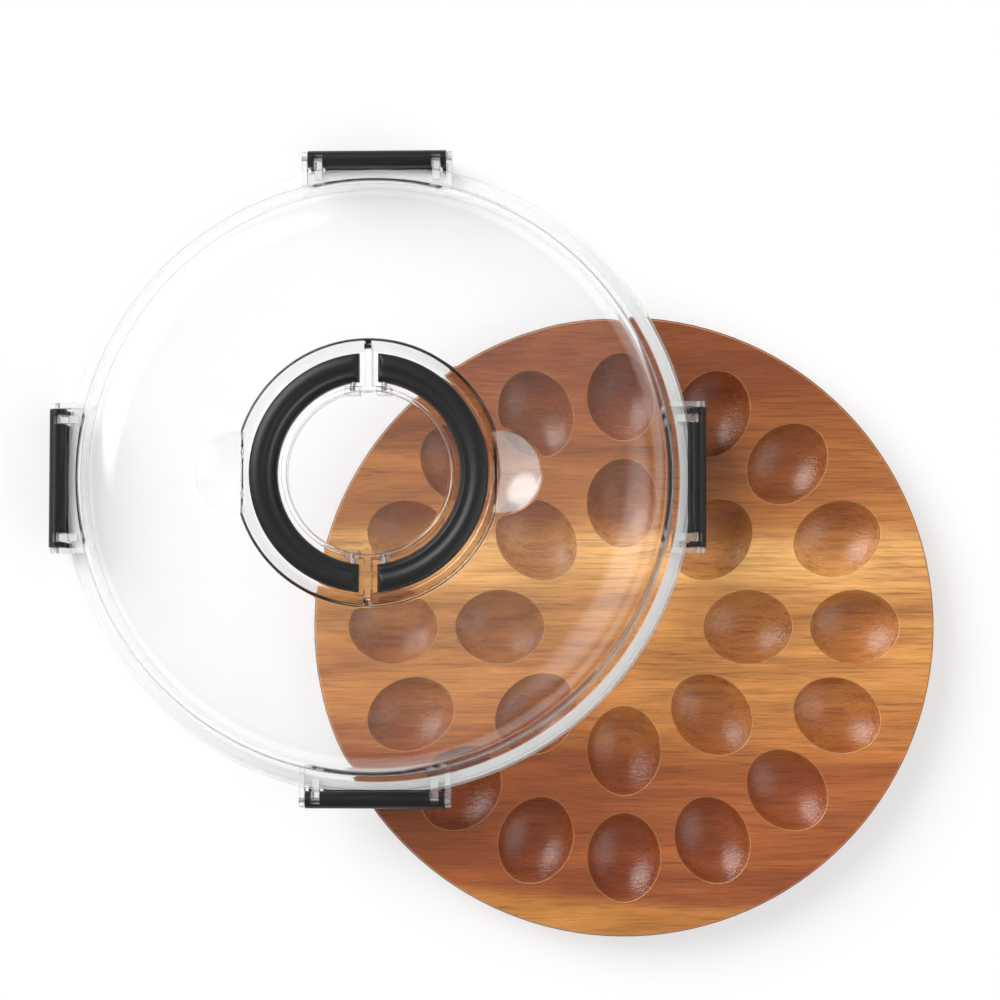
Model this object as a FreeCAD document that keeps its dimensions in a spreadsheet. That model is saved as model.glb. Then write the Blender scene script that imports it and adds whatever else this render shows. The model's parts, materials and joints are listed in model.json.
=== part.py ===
import FreeCAD, Part
import Sketcher
import math
import os

# Round wooden egg board with a clear domed lid, four snap latches and a two-part folding handle.
# The lid is taken off and leans over the board, standing on its own latches.
# Millimetres, +Z up, origin at the centre of the board's underside.

SIZES = {
    "board_radius": 180.0,
    "board_thickness": 22.0,
    "board_foot_inset": 30.0,
    "board_band_height": 9.0,
    "board_edge_break": 1.2,
    "board_foot_break": 1.5,
    "board_undercut_bow": 4.0,
    "well_length": 52.5,
    "well_width": 43.5,
    "well_depth": 11.0,
    "well_rim_margin": 19.75,
    "outer_well_count": 16,
    "well_ring_step": 62.0,
    "inner_well_count": 8,
    "lid_wall": 2.5,
    "skirt_gap": 0.8,
    "skirt_wall": 2.0,
    "skirt_drop": 7.0,
    "flange_seat_gap": 0.3,
    "flange_thickness": 2.2,
    "flange_step_width": 3.2,
    "flange_step_drop": 0.8,
    "dome_base_inset": 8.0,
    "dome_height": 82.0,
    "dome_shoulder_radius": 36.0,
    "dome_draft": 2.5,
    "channel_outer_gap": 6.5,
    "channel_inner_gap": 3.1,
    "channel_depth": 13.5,
    "channel_draft": 22.0,
    "channel_edge_round": 1.0,
    "channel_rib_width": 4.0,
    "scoop_radius": 23.5,
    "scoop_depth": 8.0,
    "handle_outer_radius": 67.5,
    "handle_width": 15.8,
    "handle_thickness": 12.0,
    "handle_bevel": 1.4,
    "handle_ridge": 0.9,
    "handle_floor_gap": 0.4,
    "handle_end_gap": 3.4,
    "handle_end_round": 2.5,
    "handle_axis_offset": 8.8,
    "handle_axis_below_top": 7.0,
    "handle_pin_radius": 1.5,
    "handle_pin_run": 11.0,
    "knuckle_length": 8.0,
    "knuckle_width": 4.6,
    "knuckle_rise": 0.8,
    "knuckle_pin_cover": 2.0,
    "knuckle_handle_gap": 2.6,
    "grip_border": 1.6,
    "grip_depth": 1.6,
    "grip_side_gap": 0.1,
    "grip_angle": 120.0,
    "grip_end_gap_angle": 0.2,
    "running_gap": 0.06,
    "seat_gap": 0.02,
    "latch_length": 80.0,
    "latch_barrel_radius": 5.0,
    "latch_axis_reach": 5.0,
    "latch_axis_above_flange": 3.5,
    "latch_drop": 25.0,
    "latch_leg": 2.6,
    "latch_foot_reach": 3.5,
    "latch_foot_round": 0.8,
    "latch_root_below_barrel": 1.5,
    "latch_claw": 2.4,
    "latch_tooth_reach": 7.5,
    "latch_tooth_height": 3.4,
    "latch_tooth_slope": 0.9,
    "latch_hook_gap": 0.6,
    "latch_notch_width": 5.5,
    "latch_notch_inset": 5.8,
    "latch_notch_past_axis": 2.4,
    "latch_corner_round": 2.0,
    "latch_panel_depth": 0.4,
    "latch_panel_border": 3.0,
    "latch_pin_radius": 1.2,
    "latch_end_gap": 0.5,
    "ear_thickness": 3.0,
    "ear_boss_radius": 4.4,
    "peg_side_gap": 0.6,
    "peg_boss_radius": 2.0,
    "peg_foot": 6.0,
    "shelf_setback": 5.6,
    "lean_shift_x": -142.0,
    "lean_shift_y": 85.0,
    "lean_bearing_offset": 12.6,
    "lean_clearance": 0.3,
}

QUARTERS = (("right", 0.0), ("back", 90.0), ("left", 180.0), ("front", 270.0))
OVERCUT = 1.0

doc = FreeCAD.newDocument("EggCarrier")
sheet = doc.addObject("Spreadsheet::Sheet", "Sizes")
for row, (name, number) in enumerate(SIZES.items(), start=1):
    sheet.set("A%d" % row, name)
    sheet.set("B%d" % row, str(number))
    sheet.setAlias("B%d" % row, name)
doc.recompute()


class Size:
    """A number together with the sheet expression that gives it."""

    def __init__(self, number, text):
        self.number = float(number)
        self.text = text

    def __add__(self, other):
        other = as_size(other)
        return Size(self.number + other.number, "(%s + %s)" % (self.text, other.text))

    def __sub__(self, other):
        other = as_size(other)
        return Size(self.number - other.number, "(%s - %s)" % (self.text, other.text))

    def __mul__(self, other):
        other = as_size(other)
        return Size(self.number * other.number, "(%s * %s)" % (self.text, other.text))

    def __truediv__(self, other):
        other = as_size(other)
        return Size(self.number / other.number, "(%s / %s)" % (self.text, other.text))

    def __neg__(self):
        return Size(0, "0") - self

    def sine(self):
        return Size(math.sin(math.radians(self.number)), "sin(%s)" % self.text)

    def cosine(self):
        return Size(math.cos(math.radians(self.number)), "cos(%s)" % self.text)

    def tangent(self):
        return self.sine() / self.cosine()

    def root(self):
        return Size(math.sqrt(self.number), "sqrt(%s)" % self.text)


def as_size(value):
    return value if isinstance(value, Size) else Size(value, repr(float(value)))


def cell(name):
    """The size that the sheet keeps under this name."""
    return Size(sheet.get(name), "Sizes.%s" % name)


def other_leg(long_side, leg):
    """The other leg of a right triangle with this long side and leg."""
    return (long_side * long_side - leg * leg).root()


def circle_through(half_width, depth):
    """Radius of the circle whose cap has this half width and depth."""
    return (half_width * half_width + depth * depth) / (depth * 2)


def origin_part(body, role):
    return [part for part in body.Origin.OriginFeatures if part.Role == role][0]


def new_body(label):
    body = doc.addObject("PartDesign::Body", label)
    body.Label = label
    return body


def new_sketch(body, plane, name, lift=(0, 0, 0)):
    """A sketch on one of the body's origin planes, moved by lift in the sketch's own directions."""
    sketch = body.newObject("Sketcher::SketchObject", name)
    sketch.AttachmentSupport = [(origin_part(body, plane), "")]
    sketch.MapMode = "FlatFace"
    lift = [as_size(part) for part in lift]
    sketch.AttachmentOffset = FreeCAD.Placement(
        FreeCAD.Vector(*[part.number for part in lift]), FreeCAD.Rotation())
    for letter, part in zip("xyz", lift):
        if part.number:
            sketch.setExpression(".AttachmentOffset.Base." + letter, part.text)
    return sketch


def bind(sketch, constraint, value):
    row = sketch.addConstraint(constraint)
    sketch.setExpression("Constraints[%d]" % row, value.text)


def fix_point(sketch, edge, end, x, y):
    """Ties one end of an edge to its place in the sketch."""
    for kind, axis, value in (("DistanceX", -2, x), ("DistanceY", -1, y)):
        if value.number == 0:
            sketch.addConstraint(Sketcher.Constraint("PointOnObject", edge, end, axis))
        else:
            bind(sketch, Sketcher.Constraint(kind, -1, 1, edge, end, value.number), value)


def arc_between(start, end, radius, left):
    """Short arc from start to end that bulges to the left or the right of the way."""
    chord = end - start
    rise = math.sqrt(max(radius ** 2 - (chord.Length / 2) ** 2, 0.0))
    side = FreeCAD.Vector(-chord.y, chord.x, 0).normalize() * (1 if left else -1)
    centre = (start + end) * 0.5 - side * rise
    first, last = (end, start) if left else (start, end)
    angles = [math.atan2(spot.y - centre.y, spot.x - centre.x) for spot in (first, last)]
    circle = Part.Circle(centre, FreeCAD.Vector(0, 0, 1), radius)
    return Part.ArcOfCircle(circle, angles[0], angles[1])


def draw_outline(sketch, points, arcs=None):
    """Closed outline through the points; arcs gives a side's radius and if it bulges left."""
    arcs = {side: (as_size(radius), left) for side, (radius, left) in (arcs or {}).items()}
    points = [(as_size(x), as_size(y)) for x, y in points]
    spots = [FreeCAD.Vector(x.number, y.number, 0) for x, y in points]
    count = len(points)
    ends = []
    for side in range(count):
        start, end = spots[side], spots[(side + 1) % count]
        if side in arcs:
            radius, left = arcs[side]
            edge = sketch.addGeometry(arc_between(start, end, radius.number, left))
            ends.append((edge, 2, 1) if left else (edge, 1, 2))
        else:
            edge = sketch.addGeometry(Part.LineSegment(start, end))
            ends.append((edge, 1, 2))
    for side in range(count):
        edge, first, last = ends[side]
        after, after_first, after_last = ends[(side + 1) % count]
        fix_point(sketch, edge, first, *points[side])
        sketch.addConstraint(Sketcher.Constraint("Coincident", edge, last, after, after_first))
        if side in arcs:
            radius = arcs[side][0]
            bind(sketch, Sketcher.Constraint("Radius", edge, radius.number), radius)


def draw_rectangle(sketch, x_low, y_low, x_high, y_high):
    draw_outline(sketch, [(x_low, y_low), (x_high, y_low), (x_high, y_high), (x_low, y_high)])


def draw_circle(sketch, x, y, radius):
    x, y, radius = as_size(x), as_size(y), as_size(radius)
    centre = FreeCAD.Vector(x.number, y.number, 0)
    edge = sketch.addGeometry(Part.Circle(centre, FreeCAD.Vector(0, 0, 1), radius.number))
    fix_point(sketch, edge, 3, x, y)
    bind(sketch, Sketcher.Constraint("Radius", edge, radius.number), radius)


def extrude(body, kind, name, sketch, length):
    """A pad or pocket that runs half its length to each side of the sketch."""
    feature = body.newObject("PartDesign::" + kind, name)
    feature.Profile = sketch
    feature.SideType = "Symmetric"
    length = as_size(length)
    feature.Length = length.number
    feature.setExpression("Length", length.text)
    doc.recompute()
    return feature


def turn(body, kind, name, sketch, axis="V_Axis", angle=360):
    """A revolution or groove about one of the sketch's axes."""
    feature = body.newObject("PartDesign::" + kind, name)
    feature.Profile = sketch
    feature.ReferenceAxis = (sketch, [axis])
    angle = as_size(angle)
    feature.Angle = angle.number
    feature.setExpression("Angle", angle.text)
    feature.Midplane = True
    doc.recompute()
    return feature


def repeat_round(body, name, features, count):
    """Copies of the features, evenly spaced about the body's Z axis."""
    pattern = body.newObject("PartDesign::PolarPattern", name)
    pattern.Originals = features
    pattern.Axis = (origin_part(body, "Z_Axis"), [""])
    pattern.Angle = 360
    pattern.Occurrences = int(count.number)
    if "Sizes" in count.text:
        pattern.setExpression("Occurrences", count.text)
    body.Tip = pattern
    doc.recompute()
    return pattern


def round_edges(body, name, wanted, radius):
    """A fillet on the edges of the body's last shape that the test wants."""
    base = body.Tip
    edges = ["Edge%d" % (number + 1) for number, edge in enumerate(base.Shape.Edges) if wanted(edge)]
    fillet = body.newObject("PartDesign::Fillet", name)
    fillet.Base = (base, edges)
    fillet.Radius = radius.number
    fillet.setExpression("Radius", radius.text)
    body.Tip = fillet
    doc.recompute()
    return fillet


def ring_edge(radius, height):
    """Test for a circular edge about the Z axis at this radius and height."""
    def wanted(edge):
        box = edge.BoundBox
        flat = abs(box.ZMin - height) < 0.01 and abs(box.ZMax - height) < 0.01
        return flat and isinstance(edge.Curve, Part.Circle) and abs(edge.Curve.Radius - radius) < 0.01
    return wanted


# Heights and radii that more than one piece uses.
wall = cell("lid_wall")
board_top = cell("board_thickness")
board_rim_bottom = board_top - cell("board_band_height")
flange_under = board_top + cell("flange_seat_gap")
flange_top = flange_under + cell("flange_thickness")
skirt_inner = cell("board_radius") + cell("skirt_gap")
skirt_outer = skirt_inner + cell("skirt_wall")
skirt_bottom = flange_under - cell("skirt_drop")
dome_base = cell("board_radius") - cell("dome_base_inset")
dome_top = cell("dome_height")
channel_floor = dome_top - cell("channel_depth")
channel_slope = cell("channel_draft").tangent()
handle_outer = cell("handle_outer_radius")
handle_inner = handle_outer - cell("handle_width")
channel_outer = handle_outer + cell("channel_outer_gap")
channel_inner = handle_inner - cell("channel_inner_gap")
handle_bottom = channel_floor + cell("handle_floor_gap")
handle_top = handle_bottom + cell("handle_thickness")
handle_axis_x = cell("handle_axis_offset")
handle_axis_z = dome_top - cell("handle_axis_below_top")
handle_end_x = handle_axis_x - cell("handle_end_gap")
handle_lug_y = other_leg(handle_inner, handle_axis_x)
knuckle_outer_y = handle_lug_y - cell("knuckle_handle_gap")
knuckle_inner_y = knuckle_outer_y - cell("knuckle_width")
handle_pin_start = knuckle_inner_y + cell("knuckle_pin_cover")
handle_pin_end = handle_lug_y + cell("handle_pin_run")
latch_axis_r = cell("board_radius") + cell("latch_axis_reach")
latch_axis_z = flange_top + cell("latch_axis_above_flange")
latch_half = cell("latch_length") / 2
notch_y = latch_half - cell("latch_notch_inset")
ear_y = latch_half + cell("latch_end_gap") + cell("ear_thickness") / 2
latch_pin_length = (latch_half + cell("latch_end_gap") + cell("ear_thickness")) * 2
shelf_x = latch_axis_r - cell("shelf_setback")


def make_board():
    """Turned board with a bowed undercut and two rings of oval wells."""
    body = new_body("tray_board")
    radius, foot = cell("board_radius"), cell("board_radius") - cell("board_foot_inset")
    edge_break, foot_break = cell("board_edge_break"), cell("board_foot_break")
    run, rise = radius - foot, board_rim_bottom - foot_break
    half_chord = (run * run + rise * rise).root() / 2
    profile = new_sketch(body, "XZ_Plane", "board_profile")
    draw_outline(profile, [
        (0, 0),
        (foot - foot_break, 0),
        (foot, foot_break),
        (radius, board_rim_bottom),
        (radius, board_top - edge_break),
        (radius - edge_break, board_top),
        (0, board_top),
    ], {2: (circle_through(half_chord, cell("board_undercut_bow")), False)})
    turn(body, "Revolution", "board_turning", profile)
    outer_pitch = radius - cell("well_rim_margin") - cell("well_length") / 2
    cut_wells(body, "inner", outer_pitch - cell("well_ring_step"))
    cut_wells(body, "outer", outer_pitch)
    return body


def cut_wells(body, ring, pitch):
    """One ring of wells: a bowed profile turned about a level line above the board."""
    half_length, depth = cell("well_length") / 2, cell("well_depth")
    across = circle_through(cell("well_width") / 2, depth)
    along = circle_through(half_length, depth)
    axis_height = across - depth
    profile = new_sketch(body, "XZ_Plane", ring + "_well_profile",
                         (pitch, board_top + axis_height, 0))
    draw_outline(profile, [
        (-half_length, 0),
        (-half_length, -axis_height),
        (half_length, -axis_height),
        (half_length, 0),
    ], {1: (along, False)})
    groove = turn(body, "Groove", ring + "_well", profile, "H_Axis", 180)
    repeat_round(body, ring + "_wells", [groove], cell(ring + "_well_count"))


def make_lid():
    """One clear moulding: skirt, flange, dome, handle channel, scoops, ears and knuckles."""
    body = new_body("lid_dome")
    turn_dome(body)
    add_scoops(body)
    cut_channel(body)
    add_latch_ears(body)
    add_handle_knuckles(body)
    return body


def turn_dome(body):
    """The lid's turned wall, still filled where the handle channel will be."""
    shoulder, draft = cell("dome_shoulder_radius"), cell("dome_draft")
    inner_shoulder = shoulder - wall
    centre_z = dome_top - shoulder
    outer_end_z = centre_z + shoulder * draft.sine()
    outer_end_x = dome_base - (outer_end_z - flange_top) * draft.tangent()
    centre_x = outer_end_x - shoulder * draft.cosine()
    inner_end_x = centre_x + inner_shoulder * draft.cosine()
    inner_end_z = centre_z + inner_shoulder * draft.sine()
    inner_base_x = inner_end_x + (inner_end_z - flange_under) * draft.tangent()
    step_x = skirt_outer - cell("flange_step_width")
    step_z = flange_top - cell("flange_step_drop")
    channel_under = channel_floor - wall
    top_under = dome_top - wall
    channel_out = channel_outer + wall / cell("channel_draft").cosine()
    channel_in = channel_inner - wall
    profile = new_sketch(body, "XZ_Plane", "dome_profile")
    draw_outline(profile, [
        (0, dome_top),
        (centre_x, dome_top),
        (outer_end_x, outer_end_z),
        (dome_base, flange_top),
        (step_x, flange_top),
        (step_x, step_z),
        (skirt_outer, step_z),
        (skirt_outer, skirt_bottom),
        (skirt_inner, skirt_bottom),
        (skirt_inner, flange_under),
        (inner_base_x, flange_under),
        (inner_end_x, inner_end_z),
        (centre_x, top_under),
        (channel_out - wall * channel_slope, top_under),
        (channel_out - (dome_top - channel_under) * channel_slope, channel_under),
        (channel_in, channel_under),
        (channel_in, top_under),
        (0, top_under),
    ], {1: (shoulder, True), 11: (inner_shoulder, False)})
    turn(body, "Revolution", "dome_turning", profile)


def add_scoops(body):
    """Two dished finger scoops, each centred on the channel's outer edge."""
    radius, depth = cell("scoop_radius"), cell("scoop_depth")
    inside = circle_through(radius, depth)
    outside = inside + wall
    seat_z = dome_top - wall / 2
    seat_x = other_leg(outside, inside - depth + wall / 2)
    lift = (channel_outer, 0, 0)
    shell = new_sketch(body, "XZ_Plane", "scoop_shell_profile", lift)
    draw_outline(shell, [
        (0, dome_top - depth - wall),
        (seat_x, seat_z),
        (0, seat_z),
    ], {0: (outside, False)})
    shell_turned = turn(body, "Revolution", "scoop_shell", shell)
    repeat_round(body, "scoop_shells", [shell_turned], as_size(2))
    dish = new_sketch(body, "XZ_Plane", "scoop_dish_profile", lift)
    draw_outline(dish, [
        (0, dome_top - depth),
        (radius, dome_top),
        (radius, dome_top + OVERCUT),
        (0, dome_top + OVERCUT),
    ], {0: (inside, False)})
    dish_turned = turn(body, "Groove", "scoop_dish", dish)
    repeat_round(body, "scoop_dishes", [dish_turned], as_size(2))


def cut_channel(body):
    """The ring channel for the folded handle, with a rib across it between the two halves."""
    outer, inner = channel_outer, channel_inner
    channel = new_sketch(body, "XZ_Plane", "channel_profile")
    draw_outline(channel, [
        (inner, channel_floor),
        (outer - cell("channel_depth") * channel_slope, channel_floor),
        (outer + channel_slope * OVERCUT, dome_top + OVERCUT),
        (inner, dome_top + OVERCUT),
    ])
    turn(body, "Groove", "channel", channel)
    round_edges(body, "channel_lip", ring_edge(inner.number, dome_top.number),
                cell("channel_edge_round"))
    rib = new_sketch(body, "YZ_Plane", "channel_rib_profile")
    rib_inner, rib_floor = inner - wall / 2, channel_floor - wall / 2
    rib_outer = outer + wall / 2
    draw_outline(rib, [
        (rib_inner, rib_floor),
        (rib_outer - (dome_top - rib_floor) * channel_slope, rib_floor),
        (rib_outer, dome_top),
        (rib_inner, dome_top),
    ])
    rib_pad = extrude(body, "Pad", "channel_rib", rib, cell("channel_rib_width"))
    repeat_round(body, "channel_ribs", [rib_pad], as_size(2))


def add_latch_ears(body):
    """Four latch stations: a window in the skirt, two ears and two pegs, all bored for the pin."""
    features = []
    window_half = latch_half + cell("latch_end_gap")
    window_low, window_high = skirt_bottom - OVERCUT, flange_top + OVERCUT
    window = new_sketch(body, "XZ_Plane", "window_profile")
    draw_rectangle(window, shelf_x, window_low, skirt_outer + OVERCUT, window_high)
    features.append(extrude(body, "Pocket", "window", window, window_half * 2))
    ear_start = other_leg(dome_base, ear_y) - wall / 2
    flange_reach = other_leg(skirt_outer, ear_y)
    peg_y_start = shelf_x - cell("peg_foot")
    for side, sign in (("near", 1), ("far", -1)):
        ear = new_sketch(body, "XZ_Plane", "ear_profile_" + side, (0, 0, ear_y * sign))
        boss = cell("ear_boss_radius")
        draw_outline(ear, [
            (ear_start, flange_under),
            (flange_reach - OVERCUT, flange_under),
            (latch_axis_r, latch_axis_z - boss),
            (latch_axis_r + boss, latch_axis_z),
            (latch_axis_r, latch_axis_z + boss),
            (ear_start, latch_axis_z + boss / 2),
        ], {2: (boss, False), 3: (boss, False)})
        features.append(extrude(body, "Pad", "ear_" + side, ear, cell("ear_thickness")))
        peg = new_sketch(body, "XZ_Plane", "peg_profile_" + side, (0, 0, notch_y * sign))
        boss = cell("peg_boss_radius")
        draw_outline(peg, [
            (peg_y_start, flange_under + wall / 4),
            (shelf_x, flange_under + wall / 4),
            (latch_axis_r, latch_axis_z - boss),
            (latch_axis_r + boss, latch_axis_z),
            (latch_axis_r, latch_axis_z + boss),
            (peg_y_start, latch_axis_z),
        ], {2: (boss, False), 3: (boss, False)})
        width = cell("latch_notch_width") - cell("peg_side_gap") * 2
        features.append(extrude(body, "Pad", "peg_" + side, peg, width))
    bore = new_sketch(body, "XZ_Plane", "pin_bore_profile")
    draw_circle(bore, latch_axis_r, latch_axis_z, cell("latch_pin_radius") + cell("seat_gap"))
    features.append(extrude(body, "Pocket", "pin_bore", bore, latch_pin_length + OVERCUT))
    repeat_round(body, "latch_stations", features, as_size(len(QUARTERS)))


def add_handle_knuckles(body):
    """Four knuckle blocks on the channel's inner wall, each with a blind bore for a handle pin."""
    features = []
    middle_y = (knuckle_inner_y + knuckle_outer_y) / 2
    bore_middle_y = (handle_pin_start + handle_lug_y) / 2
    half = cell("knuckle_length") / 2
    for side, sign in (("one", 1), ("two", -1)):
        block = new_sketch(body, "XZ_Plane", "knuckle_profile_" + side, (0, 0, middle_y))
        draw_rectangle(block, handle_axis_x * sign - half, channel_floor - wall / 2,
                       handle_axis_x * sign + half, dome_top + cell("knuckle_rise"))
        features.append(extrude(body, "Pad", "knuckle_" + side, block, cell("knuckle_width")))
        bore = new_sketch(body, "XZ_Plane", "knuckle_bore_profile_" + side, (0, 0, bore_middle_y))
        draw_circle(bore, handle_axis_x * sign, handle_axis_z,
                    cell("handle_pin_radius") + cell("seat_gap"))
        features.append(extrude(body, "Pocket", "knuckle_bore_" + side, bore,
                                handle_lug_y - handle_pin_start))
    repeat_round(body, "knuckles", features, as_size(2))


def make_handle(side):
    """Half ring of the handle, modelled on the +X side of the lid's centre."""
    body = new_body("handle_" + side)
    inner, outer = handle_inner, handle_outer
    bevel, ridge = cell("handle_bevel"), cell("handle_ridge")
    edge_z = handle_top - ridge
    profile = new_sketch(body, "XZ_Plane", "ring_profile")
    draw_outline(profile, [
        (inner, handle_bottom + bevel),
        (inner + bevel, handle_bottom),
        (outer - bevel, handle_bottom),
        (outer, handle_bottom + bevel),
        (outer, edge_z - bevel),
        (outer - bevel, edge_z),
        ((inner + outer) / 2, handle_top),
        (inner + bevel, edge_z),
        (inner, edge_z - bevel),
    ])
    turn(body, "Revolution", "half_ring", profile, angle=180)
    end_round = cell("handle_end_round")
    ends = new_sketch(body, "XZ_Plane", "end_profile")
    draw_outline(ends, [
        (-OVERCUT, handle_bottom - OVERCUT),
        (handle_end_x + end_round, handle_bottom - OVERCUT),
        (handle_end_x + end_round, handle_bottom),
        (handle_end_x, handle_bottom + end_round),
        (handle_end_x, handle_top - end_round),
        (handle_end_x + end_round, handle_top),
        (handle_end_x + end_round, handle_top + OVERCUT),
        (-OVERCUT, handle_top + OVERCUT),
    ], {2: (end_round, True), 4: (end_round, True)})
    extrude(body, "Pocket", "end_trim", ends, outer * 2 + OVERCUT)
    bore = new_sketch(body, "XZ_Plane", "bore_profile")
    draw_circle(bore, handle_axis_x, handle_axis_z,
                cell("handle_pin_radius") + cell("running_gap"))
    bore_end = handle_pin_end + cell("lean_clearance")
    extrude(body, "Pocket", "bore", bore, bore_end * 2)
    recess = new_sketch(body, "XZ_Plane", "grip_recess_profile")
    border = cell("grip_border")
    draw_rectangle(recess, inner + border, handle_bottom - OVERCUT,
                   outer - border, handle_bottom + cell("grip_depth"))
    turn(body, "Groove", "grip_recess", recess, angle=cell("grip_angle"))
    return body


def make_grip(side):
    """Soft pad that fills the recess in the underside of a half ring."""
    body = new_body("handle_grip_" + side)
    border = cell("grip_border") + cell("grip_side_gap")
    profile = new_sketch(body, "XZ_Plane", "grip_profile")
    draw_rectangle(profile, handle_inner + border, handle_bottom,
                   handle_outer - border, handle_bottom + cell("grip_depth"))
    turn(body, "Revolution", "grip", profile, angle=cell("grip_angle") - cell("grip_end_gap_angle"))
    return body


def make_latch(side):
    """Snap latch about its own pin axis: X points out from the lid, Z up."""
    body = new_body("latch_" + side)
    barrel, drop = cell("latch_barrel_radius"), cell("latch_drop")
    foot, leg, foot_round = cell("latch_foot_reach"), cell("latch_leg"), cell("latch_foot_round")
    claw_in = skirt_inner - latch_axis_r
    claw_out = claw_in + cell("latch_claw")
    root_z = -(barrel + cell("latch_root_below_barrel"))
    face_slope = (barrel - foot) / drop
    tooth_top = board_rim_bottom - cell("latch_hook_gap") - latch_axis_z
    tooth_bottom = tooth_top - cell("latch_tooth_height")
    tooth_tip = -cell("latch_tooth_reach")
    section = new_sketch(body, "XZ_Plane", "section")
    draw_outline(section, [
        (barrel, 0),
        (foot, -drop + foot_round),
        (foot - foot_round, -drop),
        (foot - leg, -drop),
        (barrel + root_z * face_slope - leg, root_z),
        (claw_out, root_z),
        (claw_out, tooth_bottom),
        (tooth_tip, tooth_bottom),
        (tooth_tip, tooth_top - cell("latch_tooth_slope")),
        (claw_in, tooth_top),
        (claw_in, -other_leg(barrel, claw_in)),
        (-barrel, 0),
        (0, barrel),
    ], {1: (foot_round, True), 10: (barrel, True), 11: (barrel, True), 12: (barrel, True)})
    extrude(body, "Pad", "section_run", section, cell("latch_length"))
    bore = new_sketch(body, "XZ_Plane", "bore_profile")
    draw_circle(bore, 0, 0, cell("latch_pin_radius") + cell("running_gap"))
    extrude(body, "Pocket", "bore", bore, cell("latch_length") + OVERCUT)
    notch_half = cell("latch_notch_width") / 2
    corner = cell("latch_corner_round")
    for end, sign in (("near", 1), ("far", -1)):
        notch = new_sketch(body, "XY_Plane", "notch_profile_" + end)
        draw_rectangle(notch, tooth_tip - OVERCUT, notch_y * sign - notch_half,
                       cell("latch_notch_past_axis"), notch_y * sign + notch_half)
        extrude(body, "Pocket", "notch_" + end, notch, (drop + barrel) * 2)
        trim = new_sketch(body, "YZ_Plane", "corner_profile_" + end)
        draw_outline(trim, [
            (latch_half * sign, -drop + corner),
            ((latch_half - corner) * sign, -drop),
            ((latch_half - corner) * sign, -drop - OVERCUT),
            ((latch_half + OVERCUT) * sign, -drop - OVERCUT),
            ((latch_half + OVERCUT) * sign, -drop + corner),
        ], {0: (corner, sign > 0)})
        extrude(body, "Pocket", "corner_" + end, trim, barrel * 4)
    border, sunk = cell("latch_panel_border"), cell("latch_panel_depth")
    panel_top, panel_bottom = root_z, -drop + border
    panel = new_sketch(body, "XZ_Plane", "panel_profile")
    draw_outline(panel, [
        (barrel + OVERCUT, panel_top),
        (barrel + panel_top * face_slope - sunk, panel_top),
        (barrel + panel_bottom * face_slope - sunk, panel_bottom),
        (barrel + OVERCUT, panel_bottom),
    ])
    extrude(body, "Pocket", "panel", panel, (latch_half - border) * 2)
    return body


def make_pin(label, radius, length):
    """Plain steel pin along its own Z axis."""
    pin = doc.addObject("Part::Cylinder", label)
    pin.Label = label
    pin.setExpression("Radius", radius.text)
    pin.setExpression("Height", length.text)
    return pin


def lid_placement():
    """Lean of the lid: left and back latches on the floor, right and front ones on the board."""
    foot_out = latch_axis_r + cell("latch_foot_reach")
    foot_in = foot_out - cell("latch_leg")
    reach = foot_in - cell("lean_bearing_offset") + foot_out + latch_half
    slope = (board_top / reach).number
    angle = math.asin(math.sqrt(2) * slope)
    foot_z = (latch_axis_z - cell("latch_drop")).number
    height = (cell("lean_clearance").number + (foot_out + latch_half).number * slope
              - foot_z * math.cos(angle))
    base = FreeCAD.Vector(cell("lean_shift_x").number, cell("lean_shift_y").number, height)
    tilt = FreeCAD.Rotation(FreeCAD.Vector(1, 1, 0), -math.degrees(angle))
    return FreeCAD.Placement(base, tilt)


def quarter_turn(degrees):
    return FreeCAD.Placement(FreeCAD.Vector(), FreeCAD.Rotation(FreeCAD.Vector(0, 0, 1), degrees))


def moved(x, y, z):
    return FreeCAD.Placement(FreeCAD.Vector(x, y, z), FreeCAD.Rotation())


def along_y():
    """Turns a pin from +Z to +Y."""
    return FreeCAD.Placement(FreeCAD.Vector(), FreeCAD.Rotation(FreeCAD.Vector(1, 0, 0), -90))


lean = lid_placement()
pieces = [make_board(), make_lid()]
pieces[1].Placement = lean
for side, degrees in QUARTERS:
    turned = lean * quarter_turn(degrees)
    latch = make_latch(side)
    latch.Placement = turned * moved(latch_axis_r.number, 0, latch_axis_z.number)
    pin = make_pin("latch_pin_" + side, cell("latch_pin_radius"), latch_pin_length)
    pin.Placement = turned * moved(
        latch_axis_r.number, -latch_pin_length.number / 2, latch_axis_z.number) * along_y()
    pieces += [latch, pin]
for side, degrees in (QUARTERS[0], QUARTERS[2]):
    turned = lean * quarter_turn(degrees)
    handle = make_handle(side)
    grip = make_grip(side)
    handle.Placement = turned
    grip.Placement = turned
    pieces += [handle, grip]
    for end, start in (("back", handle_pin_start), ("front", -handle_pin_end)):
        if side == "left":
            end = "front" if end == "back" else "back"
        pin = make_pin("handle_pin_%s_%s" % (side, end), cell("handle_pin_radius"),
                       handle_pin_end - handle_pin_start)
        pin.Placement = turned * moved(
            handle_axis_x.number, start.number, handle_axis_z.number) * along_y()
        pieces.append(pin)
doc.recompute()

for item in doc.Objects:
    if "Invalid" in item.State or "Error" in item.State:
        raise RuntimeError("%s failed: %s" % (item.Name, item.State))
os.makedirs("parts", exist_ok=True)
for piece in pieces:
    if piece.Shape.isNull() or not piece.Shape.isValid():
        raise RuntimeError("%s has no valid shape" % piece.Label)
    piece.Shape.exportStep("parts/%s.step" % piece.Label)
    print("%-26s %9.1f mm3 %d solid" % (piece.Label, piece.Shape.Volume, len(piece.Shape.Solids)))
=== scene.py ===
"""Deviled egg carrier seen from straight above: clear domed lid leaning on its round wooden egg board."""

import json
import math

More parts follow.
